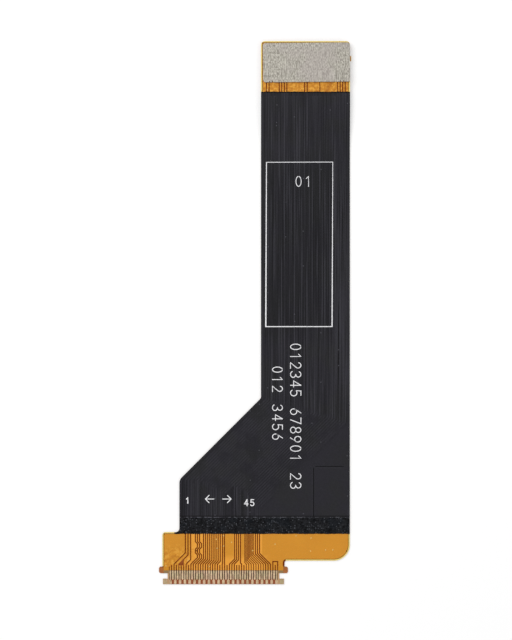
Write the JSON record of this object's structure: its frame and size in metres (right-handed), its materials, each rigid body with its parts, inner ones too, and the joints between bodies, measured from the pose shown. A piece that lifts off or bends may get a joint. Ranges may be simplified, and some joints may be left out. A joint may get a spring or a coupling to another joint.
{
  "type": "flat flex cable",
  "caption": "Flexible printed circuit cable with a staggered contact tail at one end and a steel-backed board plug at the other.",
  "frame": {"origin": "middle of the contact tail's tip, on the surface that the cable lies on", "axes": "+Y up the cable from the contact tail to the board plug, +Z out of the face that carries the contacts, +X to the right with the tail at the bottom"},
  "size_m": [0.0239, 0.0675, 0.001],
  "materials": {
    "base_film": "amber polyimide film, satin",
    "copper": "rolled copper under amber film",
    "contact_plating": "thin gold plating, fine scratches",
    "clear_coverlay": "clear amber film, satin",
    "black_film": "dull black, grainy",
    "shield_film": "black, satin, traces show in relief",
    "white_ink": "printed white ink",
    "glue_film": "cured adhesive film",
    "stiffener_film": "thick amber film, satin",
    "stainless_steel": "fine brushed stainless steel",
    "plug_moulding": "moulded black plastic",
    "clip_metal": "tinned metal strip"
  },
  "bodies": {
    "root": {"base_film": "base_film", "copper_foil": "copper", "tip_row_contacts": "contact_plating", "rear_row_contacts": "contact_plating", "ear_lands": "contact_plating", "front_coverlay": "clear_coverlay", "black_cover_film": "black_film", "front_shield_film": "shield_film", "placement_frame": "white_ink", "rear_coverlay": "clear_coverlay", "rear_shield_film": "shield_film", "tail_stiffener_adhesive": "glue_film", "tail_stiffener": "stiffener_film", "steel_stiffener_adhesive": "glue_film", "steel_stiffener": "stainless_steel", "plug_housing": "plug_moulding", "plug_contacts_far_row": "contact_plating", "plug_contacts_near_row": "contact_plating", "plug_hold_down_left": "clip_metal", "plug_hold_down_right": "clip_metal", "solder_lands": "contact_plating"}
  },
  "joints": []
}
